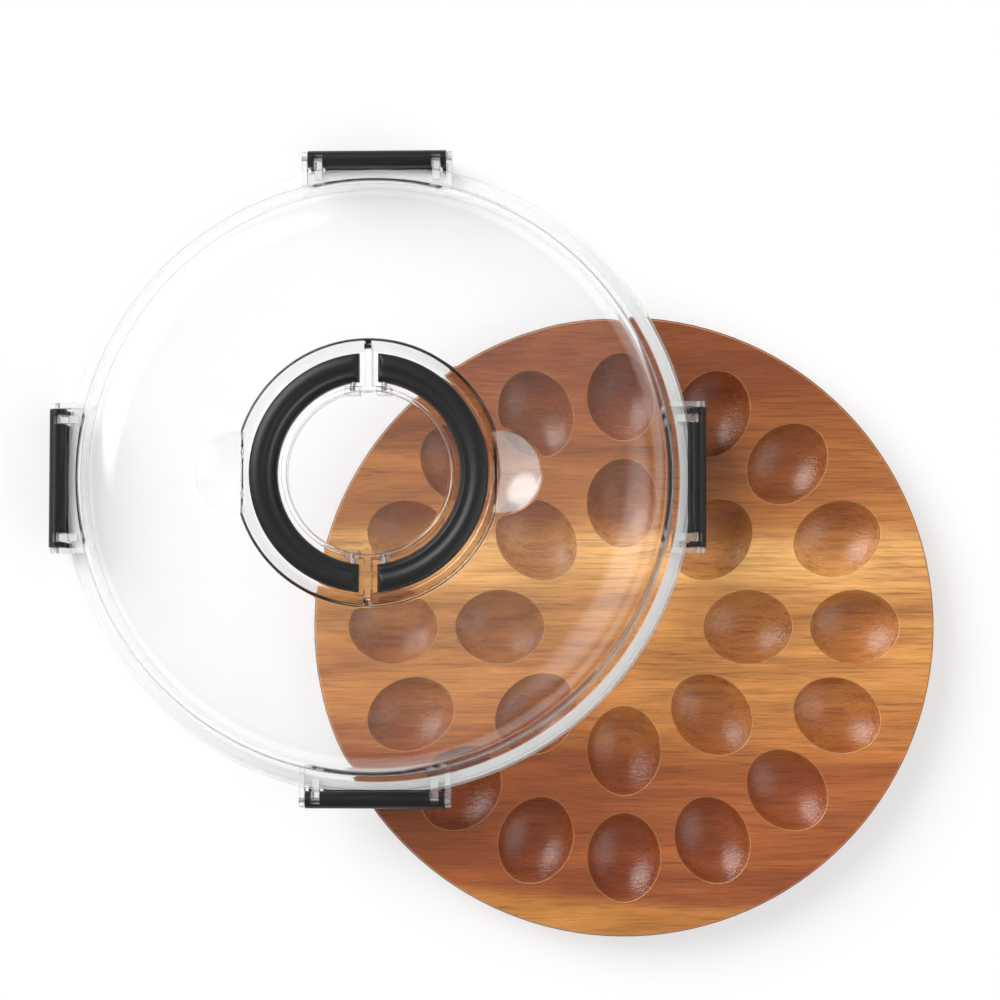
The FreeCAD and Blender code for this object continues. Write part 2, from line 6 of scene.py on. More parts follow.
import bmesh
import bpy
import numpy as np
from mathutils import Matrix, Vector


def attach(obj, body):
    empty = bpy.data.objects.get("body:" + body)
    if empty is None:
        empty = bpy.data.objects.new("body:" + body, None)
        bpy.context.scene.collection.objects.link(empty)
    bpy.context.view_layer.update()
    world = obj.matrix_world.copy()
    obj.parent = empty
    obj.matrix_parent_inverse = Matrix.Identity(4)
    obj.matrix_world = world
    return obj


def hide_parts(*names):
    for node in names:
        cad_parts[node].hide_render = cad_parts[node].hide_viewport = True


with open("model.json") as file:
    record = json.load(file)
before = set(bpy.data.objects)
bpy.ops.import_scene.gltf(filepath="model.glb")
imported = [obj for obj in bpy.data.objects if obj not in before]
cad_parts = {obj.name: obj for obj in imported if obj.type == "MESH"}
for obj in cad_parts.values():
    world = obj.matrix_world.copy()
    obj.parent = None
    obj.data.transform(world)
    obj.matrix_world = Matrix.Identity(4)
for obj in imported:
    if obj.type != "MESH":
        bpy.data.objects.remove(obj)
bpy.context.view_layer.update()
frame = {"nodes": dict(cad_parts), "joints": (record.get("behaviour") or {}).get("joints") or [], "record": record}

# Metres: the picture's middle, one pixel at the board's top, the board, the camera's height, the floor.
VIEW_CENTRE = (-0.0721, 0.0738)
PIXEL = 0.581e-3
PICTURE = 1000
BOARD_RADIUS, BOARD_TOP = 0.18, 0.022
CAMERA_HEIGHT = 2.0
FLOOR_HALF = 15.0
MM = 0.001

# Lid sizes in millimetres, in the lid's own axes. Ears and pegs are SUNK into the moulding.
WALL = 2.5
FLANGE_UNDER, FLANGE_TOP, STEP, STEP_DROP = 22.3, 24.5, 179.6, 0.8
SKIRT_IN, SKIRT_OUT, SKIRT_FOOT, SHELF = 180.8, 182.8, 15.3, 179.4
DOME_BASE, DOME_TOP, SHOULDER, DRAFT = 172.0, 82.0, 36.0, 2.5
CHANNEL_IN, CHANNEL_OUT, CHANNEL_FLOOR, CHANNEL_DRAFT = 48.6, 74.0, 68.5, 22.0
RIB_HALF, RIB_REFERENCE = 2.0, 60.0
SCOOP, SCOOP_DEPTH, SCOOP_BLEND = 23.5, 8.0, 0.7
PIN_RADIUS, PIN_HEIGHT = 185.0, 28.0
EAR_IN, EAR_OUT, EAR_TOP, EAR_ROUND, EAR_NEAR, EAR_FAR = 165.6, 178.0, 30.2, 4.4, 40.5, 43.5
PEG_IN, PEG_ROUND, PEG_NEAR, PEG_FAR = 173.4, 2.0, 32.05, 36.35
BLOCK_MIDDLE, BLOCK_HALF, BLOCK_FOOT, BLOCK_TOP, BLOCK_NEAR, BLOCK_FAR = 8.8, 4.0, 67.0, 82.8, 43.75, 48.35
SUNK = 0.1

# Handle sizes in millimetres: section, ends, and the recess for the grip pad in its underside.
HANDLE_IN, HANDLE_OUT, HANDLE_FOOT, HANDLE_TOP, HANDLE_END = 51.7, 67.5, 68.9, 80.9, 5.4
END_ROUND, PAD_EDGE, PAD_DEPTH, PAD_START = 2.5, 1.6, 1.6, 30

# Two columns (degrees) or two rows (millimetres) this close together carry an upright step.
HAIR_ANGLE, HAIR = 1e-4, 1e-4
# Degrees beside a rib's middle over which the columns bend back to plain radii.
RIB_SPREAD = 12

# How strong the painted reflection on the rim is, as pale bands between two distances from the lid's axis: wall,
# groove, flange, edge. Going up the wall, the painted reflection fades between two heights.
RIM_FROM, RIM_TO, FADE_FROM, FADE_TO = 160.0, 184.0, 26.0, 45.0
RIM_REFLECTION_BANDS = ((0.20, 0.0), (0.24, 0.30), (0.42, 0.26), (0.46, 0.0), (0.60, 0.0), (0.64, 0.74),
             (0.875, 0.74), (0.90, 0.12))

# Each lamp's direction, its strength, and the cosines inside which it is full and outside which it is out.
KEY_LAMP = ((-0.66, 0.52, 0.52), 7.1, 0.97, 0.86)
SIDE_LAMP = ((0.75, -0.28, 0.55), 1.5, 0.97, 0.80)
SKY = 0.46


class Nodes:
    """One material's shader nodes, made and joined by short calls."""

    def __init__(self, name):
        self.material = bpy.data.materials.new(name)
        self.material.use_nodes = True
        self.tree = self.material.node_tree
        self.tree.nodes.clear()
        self.output = self.tree.nodes.new("ShaderNodeOutputMaterial")

    def add(self, kind, inputs=(), **settings):
        node = self.tree.nodes.new("ShaderNode" + kind)
        for key, value in settings.items():
            setattr(node, key, value)
        for key, value in dict(inputs).items():
            self.feed(node.inputs[key], value)
        return node

    def feed(self, socket, value):
        if isinstance(value, bpy.types.NodeSocket):
            self.tree.links.new(value, socket)
        else:
            socket.default_value = value

    def place(self, scale=(1, 1, 1), shift=(0, 0, 0)):
        """The piece's own coordinates, stretched and shifted."""
        own = self.add("TexCoord").outputs["Object"]
        return self.add("Mapping", {"Vector": own, "Scale": scale, "Location": shift}).outputs["Vector"]

    def noise(self, where, scale, detail=3.0, roughness=0.5, distortion=0.0):
        return self.add("TexNoise", {"Vector": where, "Scale": scale, "Detail": detail,
                                     "Roughness": roughness, "Distortion": distortion}).outputs["Fac"]

    def ramp(self, factor, stops):
        node = self.add("ValToRGB", {"Fac": factor})
        elements = node.color_ramp.elements
        while len(elements) < len(stops):
            elements.new(0.5)
        for element, (position, colour) in zip(elements, stops):
            element.position = position
            element.color = (*colour, 1) if isinstance(colour, tuple) else (colour, colour, colour, 1)
        return node.outputs["Color"]

    def span(self, value, low, high, from_low=0.0, from_high=1.0):
        return self.add("MapRange", {"Value": value, "From Min": from_low, "From Max": from_high,
                                     "To Min": low, "To Max": high}).outputs["Result"]

    def mix(self, factor, first, second, blend="MIX"):
        node = self.add("Mix", data_type="RGBA", blend_type=blend)
        for key, value in ((0, factor), (6, first), (7, second)):
            if isinstance(value, tuple) and len(value) == 3:
                value = (*value, 1)
            self.feed(node.inputs[key], value)
        return node.outputs[2]

    def bump(self, height, strength, distance):
        node = self.add("Bump", {"Height": height, "Strength": strength, "Distance": distance})
        return node.outputs["Normal"]

    def finish(self, **inputs):
        shader = self.add("BsdfPrincipled", {key.replace("_", " "): value for key, value in inputs.items()})
        self.tree.links.new(shader.outputs[0], self.output.inputs["Surface"])
        return self.material


def lid_axes():
    """The lid's own axes and base centre, found from where its hinges sit."""
    at = {joint["name"]: np.array(joint["pos_m"]) for joint in frame["joints"]}
    right, left = at["latch_right_hinge"], at["latch_left_hinge"]
    back, front = at["latch_back_hinge"], at["latch_front_hinge"]
    across = (right - left) / np.linalg.norm(right - left)
    away = (back - front) / np.linalg.norm(back - front)
    up = np.cross(across, away)
    centre = (right + left + back + front) / 4 - up * PIN_HEIGHT * MM
    return np.stack([across, away, up]), centre


def wood():
    """Oiled acacia: straight staves across Y, long figure along X, growth lines, fine dark pores.

    Below the top face, in the wells and on the edge, it is darkened as painted shade. A thin painted highlight
    line runs round each cut edge, and a thin line of painted shade under it."""
    n = Nodes("Oiled acacia wood")
    own = n.add("TexCoord").outputs["Object"]
    drift = n.noise(n.place((1.5, 5.0, 5.0)), 1.2, 2.0)
    across = n.add("SeparateXYZ", {"Vector": own}).outputs["Y"]
    sideways = n.span(drift, -0.012, 0.012, 0.3, 0.7)
    drifted = n.add("Math", {0: across, 1: sideways}, operation="ADD").outputs[0]
    stave = n.ramp(n.span(drifted, 0.0, 1.0, -BOARD_RADIUS, BOARD_RADIUS), (
        (0.0, (0.52, 0.22, 0.048)), (0.055, (0.47, 0.175, 0.038)), (0.075, (0.26, 0.064, 0.018)),
        (0.30, (0.31, 0.084, 0.023)), (0.335, (0.46, 0.16, 0.040)), (0.50, (0.58, 0.25, 0.070)),
        (0.62, (0.72, 0.36, 0.120)), (0.665, (0.44, 0.16, 0.042)), (0.86, (0.32, 0.098, 0.027)),
        (0.93, (0.21, 0.055, 0.017))))
    figure = n.noise(n.place((1.3, 7.0, 7.0)), 4.0, 4.0, 0.55, 0.8)
    lines = n.noise(n.place((3.0, 75.0, 75.0)), 4.0, 4.0, 0.6, 0.5)
    pores = n.noise(n.place((16.0, 420.0, 420.0)), 3.0, 2.0, 0.6)
    fibres = n.noise(n.place((9.0, 190.0, 190.0)), 4.0, 3.0, 0.65)
    pale = n.mix(n.span(figure, 0.0, 1.0, 0.50, 0.70), stave, (1.45, 1.6, 1.65), "MULTIPLY")
    dark = n.mix(n.span(figure, 0.6, 0.0, 0.3, 0.46), pale, (0.17, 0.042, 0.012))
    lined = n.mix(n.span(lines, 0.0, 0.36, 0.5, 0.66), dark, (0.15, 0.038, 0.012))
    grained = n.mix(n.span(pores, 0.0, 0.4, 0.52, 0.68), lined, (0.06, 0.016, 0.006))
    level = n.add("SeparateXYZ", {"Vector": own}).outputs["Z"]
    # Painted shade: the wells and the board's edge below the top face are darkened.
    well_shade_mask = n.span(level, 0.9, 0.0, BOARD_TOP - 0.0020, BOARD_TOP - 0.0004)
    painted_well_shade = n.mix(well_shade_mask, grained, (0.68, 0.54, 0.46), "MULTIPLY")
    # Painted shade: a thin dark line just under each cut edge.
    below_edge = n.span(level, 0.0, 1.0, BOARD_TOP - 0.0024, BOARD_TOP)
    painted_shade_line = n.ramp(below_edge, ((0.45, 0.0), (0.66, 0.6), (0.74, 0.6), (0.8, 0.0)))
    shaded = n.mix(painted_shade_line, painted_well_shade, (0.12, 0.036, 0.017))
    # Painted highlight: a thin pale line along each cut edge.
    at_edge = n.span(level, 0.0, 1.0, BOARD_TOP - 0.0010, BOARD_TOP)
    painted_highlight_line = n.ramp(at_edge, ((0.42, 0.0), (0.55, 0.6), (0.85, 0.6), (0.97, 0.0)))
    colour = n.mix(painted_highlight_line, shaded, (0.66, 0.38, 0.17))
    gloss = n.span(fibres, 0.15, 0.34, 0.3, 0.7)
    return n.finish(Base_Color=colour, Roughness=gloss, Specular_IOR_Level=0.45,
                    Normal=n.bump(fibres, 0.7, 0.0004))


def clear_plastic():
    """Clear moulded plastic with slightly uneven gloss; part of the lamps' light passes it straight.

    The flange round the rim carries pale bands of painted reflection, and the two finger scoops a faint patch of
    it;
    both are found by distances measured in the lid's own axes."""
    n = Nodes("Clear plastic")
    haze = n.noise(n.place(), 14.0, 2.0)
    axes, centre = lid_axes()
    own = n.add("TexCoord").outputs["Object"]
    from_centre = n.add("VectorMath", {0: own, 1: tuple(centre)}, operation="SUBTRACT").outputs["Vector"]
    along = [n.add("VectorMath", {0: from_centre, 1: tuple(axis)}, operation="DOT_PRODUCT").outputs["Value"]
             for axis in axes]
    flat = n.add("CombineXYZ", {"X": along[0], "Y": along[1]}).outputs["Vector"]
    radius = n.add("VectorMath", {0: flat}, operation="LENGTH").outputs["Value"]
    # Painted reflection: pale bands round the flange and the foot of the wall, fading up the wall.
    rim = n.ramp(n.span(radius, 0.0, 1.0, RIM_FROM * MM, RIM_TO * MM), RIM_REFLECTION_BANDS)
    low_down = n.span(along[2], 1.0, 0.0, FADE_FROM * MM, FADE_TO * MM)
    painted_rim_reflection = n.add("Math", {0: rim, 1: low_down}, operation="MULTIPLY").outputs[0]
    # Painted reflection: a faint pale disc in each finger scoop.
    aside = n.add("Math", {0: along[0]}, operation="ABSOLUTE").outputs[0]
    past_channel = n.add("Math", {0: aside, 1: -CHANNEL_OUT * MM}, operation="ADD").outputs[0]
    from_scoop = n.add("CombineXYZ", {"X": past_channel, "Y": along[1]}).outputs["Vector"]
    scoop_radius = n.add("VectorMath", {0: from_scoop}, operation="LENGTH").outputs["Value"]
    in_scoop = n.span(scoop_radius, 1.0, 0.0, (SCOOP - 0.7) * MM, (SCOOP + 0.1) * MM)
    outside_ring = n.span(radius, 0.0, 0.16, (CHANNEL_OUT - 0.2) * MM, (CHANNEL_OUT + 0.5) * MM)
    painted_scoop_reflection = n.add("Math", {0: in_scoop, 1: outside_ring}, operation="MULTIPLY").outputs[0]
    painted_reflection = n.add("Math", {0: painted_rim_reflection, 1: painted_scoop_reflection}, operation="MAXIMUM").outputs[0]
    n.finish(Base_Color=(0.982, 0.987, 0.989, 1), Roughness=n.span(haze, 0.0, 0.025), IOR=1.49,
             Transmission_Weight=1.0)
    glass = n.output.inputs["Surface"].links[0].from_socket
    # Painted reflection: where the masks are set, a pale diffuse white takes the place of the clear plastic.
    speckle = n.noise(n.place(), 900.0, 2.0)
    painted_reflection_white = n.mix(speckle, (0.72, 0.735, 0.73), (0.78, 0.79, 0.785))
    pale = n.add("BsdfDiffuse", {"Color": painted_reflection_white}).outputs[0]
    plastic = n.add("MixShader", {0: painted_reflection, 1: glass, 2: pale}).outputs[0]
    passing = n.add("BsdfTransparent", {"Color": (0.79, 0.79, 0.79, 1)}).outputs[0]
    lamp_ray = n.add("LightPath").outputs["Is Shadow Ray"]
    mixed = n.add("MixShader", {0: lamp_ray, 1: plastic, 2: passing}).outputs[0]
    n.tree.links.new(mixed, n.output.inputs["Surface"])
    return n.material


def dark_plastic(name, base, rough, grain):
    """Black plastic with a fine moulded grain and slightly uneven gloss."""
    n = Nodes(name)
    fine = n.noise(n.place(), grain, 2.0)
    wide = n.noise(n.place(), 22.0, 2.0)
    colour = n.mix(wide, (base, base, base), (base * 1.5, base * 1.5, base * 1.55))
    return n.finish(Base_Color=colour, Roughness=n.span(wide, rough, rough + 0.08),
                    Specular_IOR_Level=0.3, Normal=n.bump(fine, 0.12, 0.0001))


def steel():
    """Plain drawn steel with fine marks along the rod."""
    n = Nodes("Drawn steel")
    marks = n.noise(n.place((40.0, 40.0, 400.0)), 8.0, 2.0)
    return n.finish(Base_Color=n.mix(marks, (0.42, 0.42, 0.43), (0.6, 0.6, 0.61)), Metallic=1.0,
                    Roughness=n.span(marks, 0.28, 0.42))


def paper_white():
    """The pale floor, faintly lit from within so that shadows on it stay light."""
    n = Nodes("White paper")
    return n.finish(Base_Color=(0.4, 0.4, 0.4, 1), Roughness=0.9, Specular_IOR_Level=0.0,
                    Emission_Color=(1, 1, 1, 1), Emission_Strength=0.54)


MATERIALS = {
    "board_wood": wood(),
    "clear_lid": clear_plastic(),
    "latch_black": dark_plastic("Black latch plastic", 0.006, 0.3, 900.0),
    "handle_black": dark_plastic("Black handle plastic", 0.008, 0.36, 1200.0),
    "grip_soft": dark_plastic("Soft grip", 0.012, 0.62, 1600.0),
    "pin_steel": steel(),
}


def dress_solids():
    """Each CAD solid's material, by its slot in the record."""
    for part in frame["record"]["subparts"]:
        shown = frame["nodes"][part["node"]]
        shown.data.materials.clear()
        shown.data.materials.append(MATERIALS[part["material_slot"]])


def place_on_lid(points):
    """Millimetres in the lid's own axes to metres in the frame."""
    axes, centre = lid_axes()
    return np.asarray(points, float) * MM @ axes + centre


def rounded_path(corners, steps=3):
    """A line through (radius, height, rounding) corners, each rounded by a short arc.

    The arc's points are the quadratic curve (1-t)^2 a + 2t(1-t) b + t^2 c about the corner b."""
    corners = np.array(corners, float)
    path = [corners[0, :2]]
    for before, here, after in zip(corners, corners[1:], corners[2:]):
        rounding = here[2]
        if rounding == 0:
            path.append(here[:2])
            continue
        start = here[:2] + (before[:2] - here[:2]) * rounding / np.linalg.norm(before[:2] - here[:2])
        end = here[:2] + (after[:2] - here[:2]) * rounding / np.linalg.norm(after[:2] - here[:2])
        for t in np.linspace(0, 1, steps + 1):
            path.append((1 - t) ** 2 * start + 2 * t * (1 - t) * here[:2] + t ** 2 * end)
    path.append(corners[-1, :2])
    return np.array(path)


def arc(centre, radius, first, last, steps):
    """Points (radius, height) on a circle between two angles in degrees, unrounded."""
    turns = np.radians(np.linspace(first, last, steps))
    return [(centre[0] + radius * math.cos(turn), centre[1] + radius * math.sin(turn), 0) for turn in turns]


def soft_min(a, b, blend):
    """The lower of two heights, with the crease between them rounded over the blend length."""
    h = np.clip(0.5 + 0.5 * (b - a) / blend, 0, 1)
    return b * (1 - h) + a * h - blend * h * (1 - h)


def lid_columns():
    """Angles of the lid's columns in degrees: denser over the scoops and beside each latch."""
    chord = math.degrees(math.acos(SHELF / SKIRT_IN))
    scoop_half, scoop_step = 18.6, 0.62
    angles = set(np.round(np.arange(0, 360, 2.0), 3))
    for middle in (0, 180):
        beside = np.arange(-scoop_half, scoop_half + 0.1, scoop_step)
        angles |= set(np.round((middle + beside) % 360, 3))
    for middle in range(0, 360, 90):
        for offset in (chord - 0.02, chord + 0.02, 9.0, 10.0, 11.0, 11.5):
            angles |= {round((middle + offset) % 360, 3), round((middle - offset) % 360, 3)}
    edge = math.degrees(math.asin(RIB_HALF / RIB_REFERENCE))
    for middle in (90, 270):
        angles = {a for a in angles if abs(a - middle) > edge + 0.3}
        angles |= {middle + offset for offset in (-edge, -edge + HAIR_ANGLE, 0.0, edge - HAIR_ANGLE, edge)}
    return np.array(sorted(angles)), edge


def lid_rows():
    """The outside line from the middle to the skirt's foot, and the inside line back to the middle."""
    draft = math.radians(DRAFT)
    turn_z = DOME_TOP - SHOULDER
    edge_z = turn_z + SHOULDER * math.sin(draft)
    edge_x = DOME_BASE - (edge_z - FLANGE_TOP) * math.tan(draft)
    turn_x = edge_x - SHOULDER * math.cos(draft)
    inner_x = turn_x + (SHOULDER - WALL) * math.cos(draft)
    inner_z = turn_z + (SHOULDER - WALL) * math.sin(draft)
    foot_x = inner_x + (inner_z - FLANGE_UNDER) * math.tan(draft)
    slope = math.tan(math.radians(CHANNEL_DRAFT))
    under_out = CHANNEL_OUT + WALL / math.cos(math.radians(CHANNEL_DRAFT))
    across = [(r, DOME_TOP, 0) for r in np.arange(CHANNEL_OUT + 0.8, CHANNEL_OUT + 25, 0.8)]
    outside = rounded_path(
        [(6, DOME_TOP, 0), (30, DOME_TOP, 0), (CHANNEL_IN, DOME_TOP, 1.0), (CHANNEL_IN, CHANNEL_FLOOR, 0.6)]
        + [(r, CHANNEL_FLOOR, 0) for r in np.arange(CHANNEL_IN + 2, 67.5, 2.0)]
        + [(CHANNEL_OUT - (DOME_TOP - CHANNEL_FLOOR) * slope, CHANNEL_FLOOR, 0.6)]
        + [(CHANNEL_OUT - d * slope, DOME_TOP - d, 0) for d in np.arange(12.5, 1.0, -1.1)]
        + [(CHANNEL_OUT, DOME_TOP, 0.5)] + across + [(110, DOME_TOP, 0), (122, DOME_TOP, 0)]
        + arc((turn_x, turn_z), SHOULDER, 90, DRAFT, 26)
        + [(DOME_BASE + 0.4, FLANGE_TOP + 7, 0), (DOME_BASE, FLANGE_TOP, 0.7), (STEP, FLANGE_TOP, 0.3),
           (STEP, FLANGE_TOP - STEP_DROP, 0.3), (SKIRT_OUT, FLANGE_TOP - STEP_DROP, 0.6),
           (SKIRT_OUT, 20, 0), (SKIRT_OUT, SKIRT_FOOT, 0.5), ((SKIRT_IN + SKIRT_OUT) / 2, SKIRT_FOOT, 0)])
    inside = rounded_path(
        [((SKIRT_IN + SKIRT_OUT) / 2, SKIRT_FOOT, 0), (SKIRT_IN, SKIRT_FOOT, 0.5),
         (SKIRT_IN, FLANGE_UNDER, 0.5), (foot_x, FLANGE_UNDER, 0.5), (foot_x - 0.3, FLANGE_UNDER + 8, 0)]
        + arc((turn_x, turn_z), SHOULDER - WALL, DRAFT, 90, 24)
        + [(118, DOME_TOP - WALL, 0), (106, DOME_TOP - WALL, 0)]
        + [(r, DOME_TOP - WALL, 0) for r in np.arange(CHANNEL_OUT + 25, under_out + 0.5, -1.0)]
        + [(under_out - WALL * slope, DOME_TOP - WALL, 0.5)]
        + [(under_out - d * slope, DOME_TOP - d, 0) for d in np.arange(4.0, 15.2, 1.4)]
        + [(under_out - (DOME_TOP - CHANNEL_FLOOR + WALL) * slope, CHANNEL_FLOOR - WALL, 0.6),
           (66, CHANNEL_FLOOR - WALL, 0), (62, CHANNEL_FLOOR - WALL, 0), (58, CHANNEL_FLOOR - WALL, 0),
           (54, CHANNEL_FLOOR - WALL, 0), (CHANNEL_IN - WALL, CHANNEL_FLOOR - WALL, 0.8),
           (CHANNEL_IN - WALL, DOME_TOP - WALL, 0.8), (30, DOME_TOP - WALL, 0), (6, DOME_TOP - WALL, 0)])
    return outside, inside


def grid_faces(rows, columns, closed_rows, closed_columns):
    """Quads between neighbouring rows and columns of points that are counted row by row."""
    row, column = np.meshgrid(np.arange(rows if closed_rows else rows - 1),
                              np.arange(columns if closed_columns else columns - 1), indexing="ij")
    next_row, next_column = (row + 1) % rows, (column + 1) % columns
    corners = [row * columns + column, next_row * columns + column,
               next_row * columns + next_column, row * columns + next_column]
    return [tuple(face) for face in np.stack(corners, axis=2).reshape(-1, 4).tolist()]


def lid_shell():
    """The lid's main moulding: radius and height lines turned about the lid's axis.

    Heights are the lower of the turned line and two spheres of radius S about (+-c, 0, top + S - depth),
    where c is the channel's outer radius and S = (scoop radius squared + depth squared) / (2 depth). For
    the inside S grows by the wall.
    Columns of the two ribs lie along x = +-half width, so each has angle asin(half width / radius).
    At each latch the radius stops at shelf / cos(angle), a straight edge."""
    degrees, edge = lid_columns()
    outside, inside = lid_rows()
    rows = np.vstack([outside, inside])
    on_top = np.arange(len(rows)) < len(outside)
    radius = np.repeat(rows[:, :1], len(degrees), axis=1)
    height = np.repeat(rows[:, 1:], len(degrees), axis=1)

    middle = np.where(degrees < 180, 90.0, 270.0)
    offset = degrees - middle
    reach = np.degrees(np.arcsin(RIB_HALF / np.clip(radius, 44, 80)))
    near = np.abs(offset) <= RIB_SPREAD
    outer_part = reach + (np.abs(offset) - edge) / (RIB_SPREAD - edge) * (RIB_SPREAD - reach)
    inner_part = np.abs(offset) * reach / edge
    inside_rib = np.abs(offset) < edge - HAIR_ANGLE / 2
    warped = np.sign(offset) * np.where(inside_rib, inner_part, outer_part)
    angle = np.radians(middle + np.where(near, warped, offset))
    in_rib = inside_rib & on_top[:, None] & (radius < CHANNEL_OUT + 0.7)
    height = np.where(in_rib, DOME_TOP, height)

    quarter = (np.degrees(angle) + 45) % 90 - 45
    limit = SHELF / np.cos(np.radians(quarter))
    gone = (limit < SKIRT_IN) & (height < FLANGE_UNDER)
    radius = np.minimum(radius, limit)
    height = np.where(gone, FLANGE_UNDER, height)

    x, y = radius * np.cos(angle), radius * np.sin(angle)
    sphere = (SCOOP ** 2 + SCOOP_DEPTH ** 2) / (2 * SCOOP_DEPTH)
    away = np.hypot(np.abs(x) - CHANNEL_OUT, y)
    size = np.where(on_top, sphere, sphere + WALL)[:, None]
    dish = DOME_TOP + sphere - SCOOP_DEPTH - np.sqrt(np.maximum(size ** 2 - away ** 2, 0))
    near_scoop = (away < SCOOP + 3) & (radius > 49)
    height = np.where(near_scoop, soft_min(height, dish, SCOOP_BLEND), height)

    points = place_on_lid(np.stack([x, y, height], axis=2).reshape(-1, 3))
    count, last = len(degrees), (len(rows) - 1) * len(degrees)
    centre_faces = [tuple(range(count)), tuple(reversed(range(last, last + count)))]
    return points, grid_faces(len(rows), count, False, True) + centre_faces


def prism(outline, low, high):
    """A flat outline in (x, z), drawn out along y between two values: quads round it, a face at each end."""
    count = len(outline)
    points = [(x, y, z) for y in (low, high) for x, z in outline]
    sides = [(i, i + count, (i + 1) % count + count, (i + 1) % count) for i in range(count)]
    return points, sides + [tuple(range(count)), tuple(reversed(range(count, 2 * count)))]


def boss(radius):
    """Outline points round the latch pin's outer side, from straight below it to straight above it."""
    return [(x, z) for x, z, _ in arc((PIN_RADIUS, PIN_HEIGHT), radius, -90, 90, 9)]


def lid_fittings():
    """Ears and pegs that carry the four latch pins, and blocks that carry the four handle pins."""
    pieces = []
    foot, tip = FLANGE_TOP - SUNK, SHELF + SUNK
    ear = [(EAR_IN, foot), (EAR_OUT, foot), (EAR_OUT, FLANGE_UNDER)]
    ear += boss(EAR_ROUND) + [(EAR_IN, EAR_TOP)]
    peg = [(PEG_IN, foot), (tip, foot), (tip, FLANGE_UNDER + 0.7)]
    peg += boss(PEG_ROUND) + [(PEG_IN, PIN_HEIGHT)]
    for quarter in range(4):
        turn = np.radians(90 * quarter)
        matrix = np.array([[np.cos(turn), np.sin(turn), 0], [-np.sin(turn), np.cos(turn), 0], [0, 0, 1]])
        for outline, low, high in ((ear, EAR_NEAR, EAR_FAR), (peg, PEG_NEAR, PEG_FAR)):
            for sign in (1, -1):
                points, faces = prism(outline, *sorted((low * sign, high * sign)))
                pieces.append((np.array(points) @ matrix, faces))
    for middle in (BLOCK_MIDDLE, -BLOCK_MIDDLE):
        low, high = middle - BLOCK_HALF, middle + BLOCK_HALF
        block = [(low, BLOCK_FOOT), (high, BLOCK_FOOT), (high, BLOCK_TOP), (low, BLOCK_TOP)]
        for sign in (-1, 1):
            pieces.append(prism(block, *sorted((BLOCK_NEAR * sign, BLOCK_FAR * sign))))
    return pieces


def add_surface(name, points, faces, slot, body, replaced):
    """A new piece from computed points and faces, smooth except at creases sharper than 50 degrees.

    Points within a thousandth of a millimetre of each other are joined, so no face is left without area.
    Where two faces then lie on each other Blender keeps one. It has a free edge, and is deleted too."""
    mesh = bpy.data.meshes.new(name)
    mesh.from_pydata([tuple(p) for p in points], [], faces)
    joined = bmesh.new()
    joined.from_mesh(mesh)
    bmesh.ops.remove_doubles(joined, verts=joined.verts, dist=1e-6)
    while single := {face for edge in joined.edges if edge.is_boundary for face in edge.link_faces}:
        bmesh.ops.delete(joined, geom=list(single), context="FACES")
    joined.to_mesh(mesh)
    joined.free()
    mesh.shade_smooth()
    mesh.set_sharp_from_angle(angle=math.radians(50))
    mesh.materials.append(MATERIALS[slot])
    piece = bpy.data.objects.new(name, mesh)
    bpy.context.scene.collection.objects.link(piece)
    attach(piece, body)
    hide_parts(replaced)


def handle_section():
    """Radius and height round one handle half: crowned outer face, hollow, inner ridge, flat underside.

    Points of the top are (distance in from the outer edge, height from the crown), those of the underside
    (distance in from either edge, height from the foot)."""
    top = [(0.0, -3.4), (0.12, -2.6), (0.4, -1.95), (0.85, -1.5), (1.1, -1.58), (1.35, -1.42), (2.0, -1.02),
           (2.8, -0.62), (3.8, -0.26), (5.0, -0.04), (6.2, 0.0), (7.4, -0.2), (8.1, -0.5), (9.0, -0.95),
           (10.1, -1.2), (11.2, -1.14), (12.1, -0.86), (12.7, -0.72), (13.1, -0.8), (13.7, -1.3),
           (14.6, -2.3), (15.3, -3.3), (15.8, -4.6)]
    half_under = [(0.0, 1.4), (0.4, 0.4), (1.4, 0.0), (PAD_EDGE, 0.0), (PAD_EDGE + HAIR, 0.0)]
    under = [(HANDLE_IN + u, HANDLE_FOOT + z) for u, z in half_under]
    under += [(HANDLE_OUT - u, HANDLE_FOOT + z) for u, z in reversed(half_under)]
    return np.array([(HANDLE_OUT - u, HANDLE_TOP + z) for u, z in top] + under), len(top)


